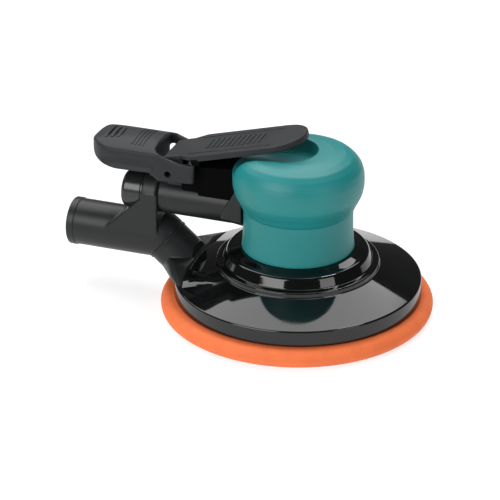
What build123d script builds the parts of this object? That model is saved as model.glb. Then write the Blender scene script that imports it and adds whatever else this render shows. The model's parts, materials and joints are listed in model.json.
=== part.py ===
"""Palm-grip random orbital sander, air driven, with a built-in dust extraction duct.

Millimetres, +Z up.  The origin is the point of the pad's working face that lies on the motor axis.
The handle, lever, hose tube and duct lie in the plane Y = 0 and point towards -X.
"""
from math import cos, radians, sin, tan
import os

from build123d import *

# ---------------------------------------------------------------- clearances
running = 0.03
push_fit = 0.05
seat_gap = 0.1
side_gap = 0.3

# ---------------------------------------------------------------- driving dimensions
# pad
pad_radius = 75.0
pad_height = 9.5
pad_edge_round = 3.2
pad_foot_round = 2.2
hook_thickness = 1.2
hook_inset = 3.4
plate_inset = 13.0
plate_thickness = 3.0
dust_holes = 6
dust_hole_radius = 5.0
dust_hole_circle = 40.0
orbit_offset = 1.25
stud_radius = 3.95
stud_head_radius = 8.0
stud_head_height = 2.0
stud_length = 8.0

# spindle and balancer
spindle_radius = 6.0
spindle_hex = 8.5
spindle_base_height = 6.5
spindle_bearing_radius = 13.0
spindle_bearing_height = 11.0
cup_wall = 3.5
cup_roof = 2.2
counterweight_radius = 34.0
counterweight_spread = 55.0
counterweight_height = 9.5

# shroud
shroud_gap = 0.6
skirt_radius = 68.0
skirt_height = 8.6
skirt_wall = 2.2
cone_height = 8.3
step_radius = 44.7
step_height = 2.6
ledge_width = 3.6
crown_radius = 38.6
crown_height = 6.0
shoulder_height = 1.8

# duct on the shroud, and the nozzle that feeds it
duct_half_width = 21.0
duct_flare = 15.0
duct_height = 13.3
duct_wall = 2.0
mouth_inset = 9.0
mouth_round = 5.0
nozzle_wall = 2.6
nozzle_step = 0.4

# motor parts
end_plate_radius = 25.0
lower_plate_height = 8.4
cylinder_height = 18.0
upper_plate_height = 8.2
cylinder_bore = 21.4
cylinder_shift = 2.0
rotor_radius = 19.0
slot_root = 10.0
vane_count = 5
vane_thickness = 2.0
shaft_radius = 6.0
shaft_top_radius = 5.0
bearing_height = 6.0
lower_bearing_radius = 12.0
upper_bearing_radius = 11.0

# motor housing and handle
housing_wall = 2.55
thread_depth = 0.9
roof_gap = 0.8
roof_thickness = 2.5
handle_z = 56.0
handle_radius = 10.8
ring_x = -79.0
ring_length = 9.0
ring_wall = 1.6
inlet_length = 12.8
inlet_bore = 5.7
inlet_spigot = 7.15
chamber_bore = 6.5
passage_bore = 3.2
exhaust_radius = 1.0

# hose tube and elbow
hose_gap = 1.7
hose_radius = 13.0
hose_wall = 2.3
hose_socket_radius = 11.2
hose_socket_depth = 25.0
hose_length = 52.9
hose_band = 4.5
elbow_x = -80.1
elbow_drop = 40.0
collar_run = 3.8

# rubber grip
grip_wall = 2.4
grip_foot_flare = 1.0
grip_bulge = 5.9
grip_waist_height = 23.6
grip_bulb_height = 17.0
grip_dome_height = 16.0
recess_end_x = 8.2

# lever and wrist rest
pivot_x = -70.0
pivot_rise = 8.5
pin_radius = 1.5
lug_half_width = 9.7
lug_round = 4.5
lever_rise = 15.2
lever_press = 10.0
lever_height = 8.9
lever_half_width = 16.4
lever_reach = 78.5
lever_plate = 2.4
lever_skirt = 4.4
ear_thickness = 2.6
arm_gap = 0.7
rest_wall = 3.0
rest_arm_reach = 15.5
rest_length = 64.3
rest_gap_reach = 15.0

# valve
stem_reach = 12.0
stem_radius = 1.5
stem_boss_height = 2.2
disc_radius = 5.0
disc_thickness = 2.0
seat_x = -66.0
seat_length = 4.0
rod_radius = 1.0
regulator_x = -42.0
regulator_radius = 3.5
regulator_rise = 1.7

# ---------------------------------------------------------------- sizes worked out from them
motor_axis = (0.0, 0.0)
pad_axis = (0.0, -orbit_offset)
hook_radius = pad_radius - hook_inset
plate_radius = pad_radius - plate_inset

skirt_bottom = pad_height + shroud_gap
skirt_top = skirt_bottom + skirt_height
step_bottom = skirt_top + cone_height
step_top = step_bottom + step_height
crown_top = step_top + crown_height
grip_foot_z = crown_top + shoulder_height
duct_top = skirt_bottom + duct_height
duct_mouth_x = mouth_inset - skirt_radius

spindle_base_top = pad_height + spindle_base_height
bearing_bottom = spindle_base_top + 1.0
bearing_top = bearing_bottom + spindle_bearing_height
spindle_top = bearing_top + 0.9
screw_radius = spindle_radius - 3.5
cup_bottom = bearing_bottom - 1.2
cup_radius = spindle_bearing_radius + cup_wall
cup_top = spindle_top + 1.9 + cup_roof

lower_plate_z = grip_foot_z + 6.2
cylinder_z = lower_plate_z + lower_plate_height
upper_plate_z = cylinder_z + cylinder_height
upper_plate_top = upper_plate_z + upper_plate_height
roof_z = upper_plate_top + roof_gap
lower_bearing_z = lower_plate_z + 0.2
upper_bearing_z = upper_plate_top - bearing_height + 0.2
shaft_top = upper_plate_top + 0.4
housing_bore = end_plate_radius + push_fit
thread_bore = housing_bore + thread_depth
housing_radius = housing_bore + housing_wall
lock_ring_bore = max(cup_radius + orbit_offset, spindle_bearing_radius) + 2.25

handle_seat_radius = handle_radius - 0.6
ring_radius = handle_radius + ring_wall
exhaust_circle = handle_radius - 2.1
ring_end_x = ring_x - ring_length
inlet_end_x = ring_end_x - inlet_length
handle_top = handle_z + handle_radius
regulator_reach = handle_radius + regulator_rise
regulator_boss_radius = regulator_radius + 3.0

hose_z = handle_z - handle_radius - hose_gap - hose_radius
hose_end_x = elbow_x - hose_length
hose_bore = hose_radius - hose_wall
drop_direction = Vector(cos(radians(elbow_drop)), 0, -sin(radians(elbow_drop)))
elbow_point = Vector(elbow_x, 0, hose_z)
collar_point = elbow_point + drop_direction * collar_run
nozzle_radius = hose_radius - nozzle_step

grip_waist_radius = housing_radius + grip_wall
grip_foot_radius = grip_waist_radius + grip_foot_flare
grip_bulb_radius = grip_waist_radius + grip_bulge
grip_waist_top = grip_foot_z + grip_waist_height
grip_bulb_z = grip_waist_top + grip_bulb_height
grip_top = grip_bulb_z + grip_dome_height

pivot_z = handle_top + pivot_rise
pivot = Vector(pivot_x, 0, pivot_z)
recess_half_width = lever_half_width + 1.0
ear_inner = lug_half_width + side_gap
ear_outer = ear_inner + ear_thickness
rest_half_width = ear_outer + arm_gap + rest_wall
rest_arm_end_x = pivot_x + rest_arm_reach
rest_tip_x = rest_arm_end_x - rest_length
rest_gap_x = pivot_x - rest_gap_reach

stem_x = pivot_x + stem_reach
stem_top = pivot_z - pin_radius - push_fit
stem_boss_top = handle_top + stem_boss_height
chamber_end_x = stem_x + 5.0

PART_FOLDER = "parts"
os.makedirs(PART_FOLDER, exist_ok=True)
nodes = {}


# ---------------------------------------------------------------- helpers
def turned(profile, centre=motor_axis):
    """Solid of revolution about the vertical axis through centre; profile holds (radius, z)."""
    points = [(radius, 0, z) for radius, z in profile]
    face = make_face(Polyline(*points, close=True))
    return Pos(centre[0], centre[1], 0) * revolve(face, axis=Axis.Z)


def rod(start, direction, radius, length):
    """Cylinder that starts at a point and runs along a direction."""
    base = Plane(origin=start, z_dir=direction)
    return base * Cylinder(radius, length, align=(Align.CENTER, Align.CENTER, Align.MIN))


def tube(start, direction, outer, inner, length):
    """Straight pipe that starts at a point and runs along a direction."""
    return rod(start, direction, outer, length) - rod(start, direction, inner, length)


def disc(radius, low, high, centre=motor_axis):
    """Upright cylinder between two heights."""
    return rod((centre[0], centre[1], low), (0, 0, 1), radius, high - low)


def washer(outer, inner, low, high, centre=motor_axis):
    """Upright ring between two heights."""
    return disc(outer, low, high, centre) - disc(inner, low, high, centre)


def block(low, high):
    """Box between two corners."""
    size = [high[i] - low[i] for i in range(3)]
    middle = [(high[i] + low[i]) / 2 for i in range(3)]
    return Pos(*middle) * Box(*size)


def side_plate(points, half_width):
    """Outline in the XZ plane, as wide as half_width either side of Y = 0."""
    outline = Polyline(*[(x, 0, z) for x, z in points], close=True)
    return extrude(make_face(outline), amount=half_width, dir=(0, 1, 0), both=True)


def across(x, z, radius, half_width):
    """Cylinder along Y, centred on Y = 0."""
    return rod((x, -half_width, z), (0, 1, 0), radius, 2 * half_width)


def along(x_from, x_to, z, radius, y=0.0):
    """Cylinder along X between two places."""
    return rod((x_from, y, z), (1, 0, 0), radius, x_to - x_from)


def around(radius, count, start=0.0):
    """Evenly spaced places on a circle, as (x, y, angle)."""
    steps = [start + 360 * i / count for i in range(count)]
    return [(radius * cos(radians(a)), radius * sin(radians(a)), a) for a in steps]


def drilled(solid, radius, circle, count, centre, low, high):
    """The solid with a ring of upright holes through it."""
    for x, y, _ in around(circle, count):
        solid -= disc(radius, low, high, (centre[0] + x, centre[1] + y))
    return solid


def keep(name, solid):
    """Record a finished sub-part under its name."""
    nodes[name] = solid


# ---------------------------------------------------------------- pad
def make_pad():
    plate_bottom = pad_height - plate_thickness
    head_bottom = plate_bottom - stud_head_height
    holes = (dust_hole_radius, dust_hole_circle, dust_holes, pad_axis, -1, pad_height + 1)

    hook = disc(hook_radius, 0, hook_thickness, pad_axis)
    keep("pad_hook_face", drilled(hook, *holes))

    foam = disc(pad_radius, hook_thickness, pad_height, pad_axis)
    rims = foam.edges().filter_by(GeomType.CIRCLE)
    foam = fillet(rims.sort_by(Axis.Z)[-1], pad_edge_round)
    rims = foam.edges().filter_by(GeomType.CIRCLE)
    foam = fillet(rims.sort_by(Axis.Z)[0], pad_foot_round)
    foam -= disc(plate_radius + push_fit, plate_bottom, pad_height, pad_axis)
    foam -= disc(stud_head_radius + push_fit, head_bottom, plate_bottom, pad_axis)
    keep("pad_foam", drilled(foam, *holes))

    plate = disc(plate_radius, plate_bottom, pad_height, pad_axis)
    plate -= disc(stud_radius + push_fit, plate_bottom, pad_height, pad_axis)
    keep("pad_backing_plate", drilled(plate, *holes))

    stud = disc(stud_head_radius, head_bottom, plate_bottom, pad_axis)
    stud += disc(stud_radius, plate_bottom, pad_height + stud_length, pad_axis)
    keep("pad_stud", stud)


# ---------------------------------------------------------------- spindle
def make_spindle():
    hexagon = RegularPolygon(radius=spindle_hex, side_count=6, major_radius=False)
    base = Pos(*pad_axis, pad_height) * extrude(hexagon, amount=spindle_base_top - pad_height)
    spindle = base + disc(spindle_radius, spindle_base_top, spindle_top, pad_axis)
    spindle -= disc(stud_radius + push_fit, pad_height, pad_height + stud_length + 1.0, pad_axis)
    screw_bottom = pad_height + stud_length + 4.0
    spindle -= disc(screw_radius + push_fit, screw_bottom - 0.5, spindle_top, pad_axis)
    keep("spindle", spindle)

    screw = disc(7.5, spindle_top, spindle_top + 1.3, pad_axis)
    screw += disc(screw_radius, screw_bottom, spindle_top, pad_axis)
    screw -= Pos(*pad_axis, spindle_top + 0.5) * extrude(RegularPolygon(1.5, 6), amount=1.0)
    keep("spindle_screw", screw)

    ring = washer(spindle_bearing_radius, spindle_radius + running, bearing_bottom, bearing_top, pad_axis)
    keep("spindle_bearing", ring)
    snap_inner = spindle_bearing_radius - 1.7
    snap = washer(spindle_bearing_radius - push_fit, snap_inner, bearing_bottom - 1, bearing_bottom, pad_axis)
    snap -= block((-1.5, -2 * spindle_bearing_radius, 0), (1.5, 4 - spindle_bearing_radius, bearing_top))
    keep("bearing_snap_ring", snap)


# ---------------------------------------------------------------- balancer and shaft
def make_balancer():
    cup = disc(cup_radius, cup_bottom, cup_top, pad_axis)
    wedge_reach = counterweight_radius * 1.5
    spread = radians(counterweight_spread)
    corner = (wedge_reach * sin(spread), wedge_reach * cos(spread))
    wedge = make_face(Polyline((0, 0), corner, (0, wedge_reach), (-corner[0], corner[1]), close=True))
    weight_bottom = cup_top - cup_wall - counterweight_height
    weight = disc(counterweight_radius, weight_bottom, cup_top - cup_wall)
    weight = weight & extrude(wedge, amount=2 * cup_top)
    shaft = disc(shaft_radius + 1.5, cup_top - 1, lower_bearing_z)
    shaft += disc(shaft_radius, lower_bearing_z, upper_bearing_z)
    shaft += disc(shaft_top_radius, upper_bearing_z, shaft_top)
    body = cup + weight + shaft
    body -= disc(spindle_bearing_radius + push_fit, cup_bottom, bearing_top, pad_axis)
    body -= disc(spindle_bearing_radius - 2.0, bearing_top, cup_top - cup_roof, pad_axis)
    body -= block((shaft_radius - 1.2, -1.05, cylinder_z + 3), (shaft_radius + 1, 1.05, upper_plate_z - 3))
    keep("balancer_shaft", body)


# ---------------------------------------------------------------- rotor
def make_rotor():
    low = cylinder_z + seat_gap
    high = upper_plate_z - seat_gap
    rotor = washer(rotor_radius, shaft_radius + push_fit, low, high)
    half_vane = vane_thickness / 2
    half_slot = half_vane + push_fit
    slot = block((slot_root, -half_slot, low), (rotor_radius + 1, half_slot, high))
    vane = block((slot_root + 0.2, -half_vane, low), (rotor_radius + 0.2, half_vane, high))
    vanes = []
    for _, _, angle in around(1, vane_count, 36):
        rotor -= Rotation(0, 0, angle) * slot
        vanes.append(Rotation(0, 0, angle) * vane)
    key_low = cylinder_z + 3.1
    key_high = upper_plate_z - 3.1
    key = block((shaft_radius - 1.1, -1.0, key_low), (shaft_radius + 1.4, 1.0, key_high))
    rotor -= block((shaft_radius - 1, -1.05, low), (shaft_radius + 1.5, 1.05, high))
    keep("rotor", rotor)
    keep("rotor_vanes", Compound(children=vanes))
    keep("rotor_key", key)


# ---------------------------------------------------------------- motor cylinder stack
def make_motor_stack():
    pin_radius_small = 1.2
    pin_y = (end_plate_radius + cylinder_bore) / 2
    pin_reach = 2.0
    pin_low = cylinder_z - pin_reach
    pin_high = upper_plate_z + pin_reach
    pin_hole = disc(pin_radius_small + push_fit, pin_low, pin_high, (0, pin_y))

    lower = disc(end_plate_radius, lower_plate_z, cylinder_z)
    lower -= disc(lower_bearing_radius + push_fit, lower_plate_z, lower_bearing_z + bearing_height)
    lower -= disc(shaft_radius + 0.5, lower_plate_z, cylinder_z)
    keep("lower_end_plate", lower - pin_hole)
    keep("lower_bearing", washer(lower_bearing_radius, shaft_radius + running,
                                 lower_bearing_z, lower_bearing_z + bearing_height))

    barrel = disc(end_plate_radius, cylinder_z, upper_plate_z)
    barrel -= disc(cylinder_bore, cylinder_z, upper_plate_z, (cylinder_shift, 0))
    middle = (cylinder_z + upper_plate_z) / 2
    barrel -= along(-30, 0, middle, passage_bore)
    for rise in (-4.5, 0, 4.5):
        barrel -= rod((0, 0, middle + rise), (0.5, -1, 0), 1.2, 40)
    keep("motor_cylinder", barrel - pin_hole)

    upper = disc(end_plate_radius, upper_plate_z, upper_plate_top)
    upper -= disc(upper_bearing_radius + push_fit, upper_bearing_z, upper_plate_top)
    upper -= disc(shaft_radius + 0.5, upper_plate_z, upper_bearing_z)
    keep("upper_end_plate", upper - pin_hole)
    washer_z = upper_bearing_z + bearing_height - 1
    keep("upper_bearing", washer(upper_bearing_radius, shaft_top_radius + running, upper_bearing_z, washer_z))
    keep("alignment_pin", disc(pin_radius_small, pin_low, pin_high, (0, pin_y)))
    keep("wave_washer", washer(upper_bearing_radius - 0.2, shaft_top_radius + 2.5, washer_z, upper_plate_top))

    flange_top = crown_top - 1.4
    ring_low = flange_top - 3.0
    spigot = thread_bore - push_fit
    flange_radius = thread_bore + 4.0
    ring = washer(flange_radius, lock_ring_bore, ring_low, flange_top)
    ring += washer(spigot, lock_ring_bore, flange_top, lower_plate_z)
    for x, y, _ in around((flange_radius + lock_ring_bore) / 2, 4, 45):
        ring -= disc(1.8, ring_low, flange_top, (x, y))
    keep("lock_ring", ring)
    seal_bore = shaft_radius + 1.5 + side_gap
    keep("dust_seal", washer(lock_ring_bore - push_fit, seal_bore, lower_plate_z - 3, lower_plate_z))


# ---------------------------------------------------------------- housing with its handle
def make_housing():
    shell = disc(housing_radius, grip_foot_z, roof_z + roof_thickness)
    top_rims = shell.edges().filter_by(GeomType.CIRCLE).sort_by(Axis.Z)
    shell = fillet(top_rims[-1], 2.0)
    inside_x = 5 - housing_bore
    handle = along(ring_x, inside_x, handle_z, handle_radius)
    handle += along(ring_end_x, ring_x, handle_z, handle_seat_radius)
    lug_low = (pivot_x - lug_round, -lug_half_width, handle_z + 5)
    lug = block(lug_low, (pivot_x + lug_round, lug_half_width, pivot_z))
    lug += across(pivot_x, pivot_z, lug_round, lug_half_width)
    bushing_low = handle_top - 2.8
    stem_boss = disc(5.0, bushing_low, stem_boss_top, (stem_x, 0))
    regulator_boss = rod((regulator_x, 0, handle_z), (0, 1, 0), regulator_boss_radius, regulator_reach)
    body = shell + handle + lug + stem_boss + regulator_boss

    body -= disc(housing_bore, lower_plate_z, roof_z)
    body -= disc(thread_bore, grip_foot_z, lower_plate_z + 0.3)
    body -= along(ring_end_x, ring_x + 1, handle_z, inlet_spigot + push_fit)
    body -= along(ring_x, chamber_end_x, handle_z, chamber_bore)
    body -= along(chamber_end_x, inside_x, handle_z, passage_bore)
    body -= across(pivot_x, pivot_z, pin_radius + running, lug_half_width + 1)
    body -= disc(2 * stem_radius + push_fit, bushing_low, stem_boss_top, (stem_x, 0))
    body -= disc(stem_radius + 0.4, handle_z, bushing_low, (stem_x, 0))
    body -= rod((regulator_x, -passage_bore - 0.5, handle_z), (0, 1, 0), regulator_radius + running, 20)
    for angle in (-120, -90, -60):
        y = exhaust_circle * cos(radians(angle))
        z = handle_z + exhaust_circle * sin(radians(angle))
        body -= along(ring_x - 3.5, inside_x, z, exhaust_radius, y)
    slot_top = handle_z - inlet_spigot - 0.7
    body -= block((ring_x - 4, -4.5, handle_z - handle_radius), (ring_x - 1, 4.5, slot_top))
    keep("motor_housing", body)


# ---------------------------------------------------------------- rubber grip
def make_grip():
    outline = Spline(
        (grip_waist_radius, 0, grip_waist_top),
        (grip_bulb_radius - 0.9, 0, grip_bulb_z - 8),
        (grip_bulb_radius, 0, grip_bulb_z),
        (grip_bulb_radius - 5.6, 0, grip_bulb_z + 10.6),
        (14.0, 0, grip_top - 0.9),
        (0, 0, grip_top),
        tangents=((0.3, 0, 1), (-1, 0, 0)),
    )
    rest = Polyline((0, 0, grip_top), (0, 0, grip_foot_z), (grip_foot_radius, 0, grip_foot_z),
                    (grip_waist_radius, 0, grip_foot_z + 4), (grip_waist_radius, 0, grip_waist_top))
    body = revolve(make_face(outline + rest), axis=Axis.Z)
    body -= disc(housing_radius + push_fit, grip_foot_z, roof_z + roof_thickness + push_fit)
    body -= along(ring_x, 5 - housing_bore, handle_z, handle_radius + push_fit)
    body -= rod((regulator_x, 0, handle_z), (0, 1, 0), regulator_boss_radius + push_fit, regulator_reach)

    pressed = radians(lever_rise - lever_press)
    under = lever_height - lever_plate - lever_skirt / 2 - 1.2
    floor_at_pivot = pivot_z + under / cos(pressed)
    left, right, sky = -2 * grip_bulb_radius, grip_bulb_radius, 2 * grip_top
    floor_left = floor_at_pivot + tan(pressed) * (left - pivot_x)
    floor_right = floor_at_pivot + tan(pressed) * (right - pivot_x)
    round_x = recess_end_x - recess_half_width
    plan = block((left, -recess_half_width, 0), (round_x, recess_half_width, sky))
    plan += disc(recess_half_width, 0, sky, (round_x, 0))
    above = side_plate([(left, floor_left), (right, floor_right), (right, sky), (left, sky)], sky)
    body -= plan & above
    keep("grip_cover", body)


# ---------------------------------------------------------------- shroud with its duct
def duct_plan(inset, mouth_x):
    """Plan outline of the duct, drawn in by a wall thickness."""
    width = duct_half_width - inset
    flare = duct_half_width + duct_flare - inset
    flare_x = duct_mouth_x + 3.0
    crown_x = -0.65 * step_radius
    inside_x = -0.25 * step_radius
    near_side = [(mouth_x, -width), (flare_x, -width), (crown_x, -flare), (inside_x, -flare)]
    return near_side + [(x, -y) for x, y in reversed(near_side)]


def make_shroud():
    ledge_radius = step_radius - ledge_width
    outer = turned([(0, skirt_bottom), (skirt_radius + 0.3, skirt_bottom), (skirt_radius, skirt_top),
                    (step_radius, step_bottom), (step_radius, step_top), (ledge_radius, step_top),
                    (crown_radius, crown_top), (grip_foot_radius + 1, grip_foot_z), (0, grip_foot_z)])
    ceiling = crown_top - 1.4
    skirt_inner = skirt_radius - skirt_wall
    step_inner = step_radius - skirt_wall
    inner = turned([(0, skirt_bottom - 1), (skirt_inner, skirt_bottom - 1), (skirt_inner, skirt_top - 1.0),
                    (step_inner, step_bottom - 1.4), (step_inner, step_top - 2.0),
                    (ledge_radius - 2.6, step_top - 1.0), (crown_radius - 2.4, ceiling), (0, ceiling)])
    plan = make_face(Polyline(*duct_plan(0, duct_mouth_x), close=True))
    duct = Pos(0, 0, skirt_bottom) * extrude(plan, amount=duct_top - skirt_bottom)
    plan_inner = make_face(Polyline(*duct_plan(duct_wall, duct_mouth_x - 1), close=True))
    bore_height = duct_top - skirt_bottom - 2 * duct_wall
    bore = Pos(0, 0, skirt_bottom + duct_wall) * extrude(plan_inner, amount=bore_height)
    beyond = -2 * skirt_radius
    outer -= block((beyond, -duct_half_width, 0), (duct_mouth_x, duct_half_width, grip_foot_z))
    body = outer + duct - inner - bore
    body -= disc(thread_bore + 0.35, 0, grip_foot_z)
    duct_end = (-skirt_radius, -skirt_radius, skirt_bottom)
    body -= disc(step_inner, 0, grip_foot_z) & block(duct_end, (0, skirt_radius, step_bottom - 1.4))
    keep("shroud", body)


# ---------------------------------------------------------------- vacuum elbow and suction nozzle
def make_elbow():
    ring = along(ring_end_x, ring_x, handle_z, ring_radius)
    web_foot = (elbow_x - 28.9, hose_z + 5)
    web = side_plate([(ring_x + 0.8, handle_z + 3), (ring_x + 0.8, hose_z + 2), web_foot,
                      (ring_end_x + 3, handle_z + 3)], ring_radius)
    hose = along(hose_end_x, elbow_x, hose_z, hose_radius)
    hose += along(hose_end_x, hose_end_x + hose_band, hose_z, hose_radius + 0.4)
    bend = Pos(elbow_point) * Sphere(hose_radius)
    branch = rod(elbow_point, drop_direction, hose_radius, collar_run)
    body = ring + web + hose + bend + branch
    body -= rod(collar_point, drop_direction, hose_radius + 4, 3 * hose_radius)
    body -= along(hose_end_x, hose_end_x + hose_socket_depth, hose_z, hose_socket_radius)
    body -= along(hose_end_x + hose_socket_depth - 1, elbow_x, hose_z, hose_bore)
    body -= Pos(elbow_point) * Sphere(hose_bore)
    body -= rod(elbow_point, drop_direction, hose_bore, collar_run + 1)
    body -= along(inlet_end_x, ring_x, handle_z, handle_seat_radius + push_fit)
    body -= along(ring_x, ring_x + 10, handle_z, handle_radius + push_fit)
    body -= disc(3.0, hose_z, handle_z, (ring_x - ring_length / 2, 0))
    body -= block((hose_end_x, -ring_radius - 1, handle_z), (ring_end_x, ring_radius + 1, handle_top + 5))
    body -= along(inlet_end_x - 5, ring_end_x, handle_z, handle_radius + 0.6)
    keep("vacuum_elbow", body)


def nozzle_skin(inset):
    """Closed shape that runs from the round collar to the wide mouth, drawn in by a wall thickness."""
    low = skirt_bottom + inset
    high = duct_top - inset
    mouth_x = duct_mouth_x - seat_gap
    mouth_plane = Plane(origin=(mouth_x, 0, (low + high) / 2), x_dir=(0, 1, 0), z_dir=(1, 0, 0))
    mouth = mouth_plane * RectangleRounded(2 * (duct_half_width - inset), high - low, mouth_round - inset)
    start = collar_point + drop_direction * seat_gap
    collar_plane = Plane(origin=start, x_dir=(0, 1, 0), z_dir=drop_direction)
    radius = nozzle_radius - inset
    collar = collar_plane * RectangleRounded(2 * radius, 2 * radius, radius - 0.02)
    return loft([collar, mouth])


def make_nozzle():
    body = nozzle_skin(0) - nozzle_skin(nozzle_wall)
    spigot_start = collar_point - drop_direction * 3.0
    spigot = hose_bore - push_fit
    body += tube(spigot_start, drop_direction, spigot, spigot - 1.4, 3.2)
    keep("suction_nozzle", body)


# ---------------------------------------------------------------- air inlet and valve
def make_inlet():
    cap = along(inlet_end_x, ring_end_x, handle_z, handle_radius)
    cap = fillet(cap.edges().filter_by(GeomType.CIRCLE).sort_by(Axis.X)[0], 1.6)
    bushing = cap + along(ring_end_x, ring_x + 0.5, handle_z, inlet_spigot)
    bushing -= along(inlet_end_x - 1, ring_end_x, handle_z, inlet_bore)
    bushing -= along(ring_end_x - 1, ring_x + 2, handle_z, 4.6)
    keep("inlet_bushing", bushing)
    screen_x = ring_end_x + 0.5
    screen = along(screen_x, screen_x + 0.8, handle_z, 4.5)
    for ring_count, circle in ((1, 0.0), (6, 1.5), (10, 3.0)):
        for y, z, _ in around(circle, ring_count):
            screen -= along(screen_x - 1, screen_x + 2, handle_z + z, 0.45, y)
    keep("inlet_screen", screen)


def make_valve():
    seat = along(seat_x, seat_x + seat_length, handle_z, chamber_bore - push_fit)
    seat -= along(seat_x - 1, seat_x + seat_length + 1, handle_z, 3.7)
    keep("valve_seat", seat)
    face_x = seat_x - push_fit
    valve = along(face_x - disc_thickness, face_x, handle_z, disc_radius)
    valve += along(face_x, stem_x + stem_radius, handle_z, rod_radius)
    keep("tip_valve", valve)
    spring_end = face_x - disc_thickness - 0.15
    spring_start = ring_x + 0.8
    wire = 0.4
    height = spring_end - spring_start - 2 * wire
    path = Helix(pitch=2.3, height=height, radius=4.0)
    section = Plane(origin=path @ 0, z_dir=path % 0) * Circle(wire)
    coil = sweep(section, path=path)
    keep("valve_spring", Pos(spring_start + wire, 0, handle_z) * Rotation(0, 90, 0) * coil)

    nose_z = handle_z + rod_radius + push_fit + stem_radius
    stem = disc(stem_radius, nose_z, stem_top, (stem_x, 0)) + Pos(stem_x, 0, nose_z) * Sphere(stem_radius)
    stem += disc(2.6, stem_top - 1.2, stem_top, (stem_x, 0))
    keep("valve_stem", stem)
    bushing = washer(2 * stem_radius, stem_radius + running, handle_top - 2.8, stem_boss_top, (stem_x, 0))
    keep("stem_bushing", bushing)

    head_y = regulator_reach + seat_gap
    head = 1.6 * regulator_radius
    plug = rod((regulator_x, -passage_bore, handle_z), (0, 1, 0), regulator_radius, passage_bore + head_y)
    plug += rod((regulator_x, head_y, handle_z), (0, 1, 0), head, 2.4)
    plug -= along(regulator_x - 10, regulator_x + 10, handle_z, passage_bore - 0.6)
    slot_low = (regulator_x - head - 1, head_y + 1.2, handle_z - 0.6)
    plug -= block(slot_low, (regulator_x + head + 1, head_y + 4, handle_z + 0.6))
    keep("speed_regulator", plug)


# ---------------------------------------------------------------- lever, its pin and the wrist rest
def make_lever():
    place = Pos(pivot.X, 0, pivot.Z) * Rotation(0, -lever_rise, 0)
    tip_round = lever_half_width
    def plan(inset, low, high, back):
        width = lever_half_width - inset
        shape = block((back, -width, low), (lever_reach - tip_round, width, high))
        return shape + disc(width, low, high, (lever_reach - tip_round, 0))
    plate_low = lever_height - lever_plate
    skirt_start = (rest_arm_end_x - pivot_x) / cos(radians(lever_rise)) + 3.0
    paddle = plan(0, plate_low - lever_skirt / 2, lever_height, -3.0)
    paddle -= plan(2.0, plate_low - lever_skirt, plate_low, -1.0)
    paddle -= block((-20, -30, -20), (skirt_start, 30, plate_low))
    ears = block((-lug_round, -ear_outer, 0), (2 * lug_round, ear_outer, plate_low + 0.5))
    ears += across(0, 0, lug_round, ear_outer)
    ears -= block((-20, -ear_inner, -10), (20, ear_inner, plate_low))
    lever = place * (paddle + ears)
    lever -= across(pivot.X, pivot.Z, pin_radius + running, 20)
    nose_top = pivot_z + lever_height + 2.5
    lever += across(stem_x, pivot_z, pin_radius, 3.0)
    lever += block((stem_x - pin_radius, -3.0, pivot_z), (stem_x + pin_radius, 3.0, nose_top))
    keep("throttle_lever", lever)
    keep("lever_pin", across(pivot.X, pivot.Z, pin_radius, rest_half_width - 0.2))


def make_rest():
    arm_top = pivot_z + 6.9
    back_x = rest_gap_x
    outline = [(rest_tip_x, pivot_z + 5.2), (rest_tip_x + 6, pivot_z + 9.7),
               (rest_tip_x + 15, pivot_z + 12.3),
               (back_x - 9, pivot_z + 13.5), (back_x, pivot_z + 13.5), (back_x + 6, pivot_z + 5.0),
               (rest_arm_end_x, arm_top), (rest_arm_end_x - 0.6, pivot_z - 4.3), (pivot_x - 6, pivot_z - 5.3),
               (back_x + 4, pivot_z - 1.3), (back_x - 16, pivot_z - 1.9), (rest_tip_x + 10, pivot_z + 0.3),
               (rest_tip_x + 2, pivot_z + 3.3)]
    body = side_plate(outline, rest_half_width)
    nose_x = rest_tip_x + rest_half_width
    plan = disc(rest_half_width, 0, 2 * pivot_z, (nose_x, 0))
    plan += block((nose_x, -rest_half_width, 0), (rest_arm_end_x + 1, rest_half_width, 2 * pivot_z))
    crown_z = pivot_z + 13.9
    crown_drop = 3.6
    crown_round = (rest_half_width ** 2 + crown_drop ** 2) / (2 * crown_drop)
    crown = along(rest_tip_x - 1, rest_arm_end_x + 1, crown_z - crown_round, crown_round)
    below = (rest_tip_x - 1, -rest_half_width, 0)
    body = body & plan & (crown + block(below, (rest_arm_end_x + 1, rest_half_width, crown_z - crown_round)))
    arm_inner = rest_half_width - rest_wall
    inner_x = back_x - rest_wall
    hollow = [(rest_tip_x + 10, 0), (rest_tip_x + 10, pivot_z + 6.5), (rest_tip_x + 16, pivot_z + 8.7),
              (back_x - 9, pivot_z + 9.9), (inner_x, pivot_z + 9.9), (inner_x, 0)]
    body -= side_plate(hollow, arm_inner)
    body -= block((rest_gap_x, -arm_inner, 0), (0, arm_inner, 2 * pivot_z))
    saddle = block((inner_x, -6, handle_z), (rest_gap_x, 6, pivot_z + 5))
    saddle -= along(inner_x - 5, rest_gap_x + 5, handle_z, ring_radius + push_fit)
    body += saddle
    body -= across(pivot_x, pivot_z, pin_radius + running, rest_half_width + 1)
    keep("wrist_rest", body)


make_pad()
make_spindle()
make_balancer()
make_rotor()
make_motor_stack()
make_housing()
make_grip()
make_shroud()
make_elbow()
make_nozzle()
make_inlet()
make_valve()
make_lever()
make_rest()

for name, solid in nodes.items():
    export_step(solid, os.path.join(PART_FOLDER, name + ".step"))
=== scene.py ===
"""Looks of a palm-grip air sander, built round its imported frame. Lengths in the builders are millimetres."""

import json
import math

import bmesh
import bpy
from mathutils import Matrix, Vector


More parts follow.
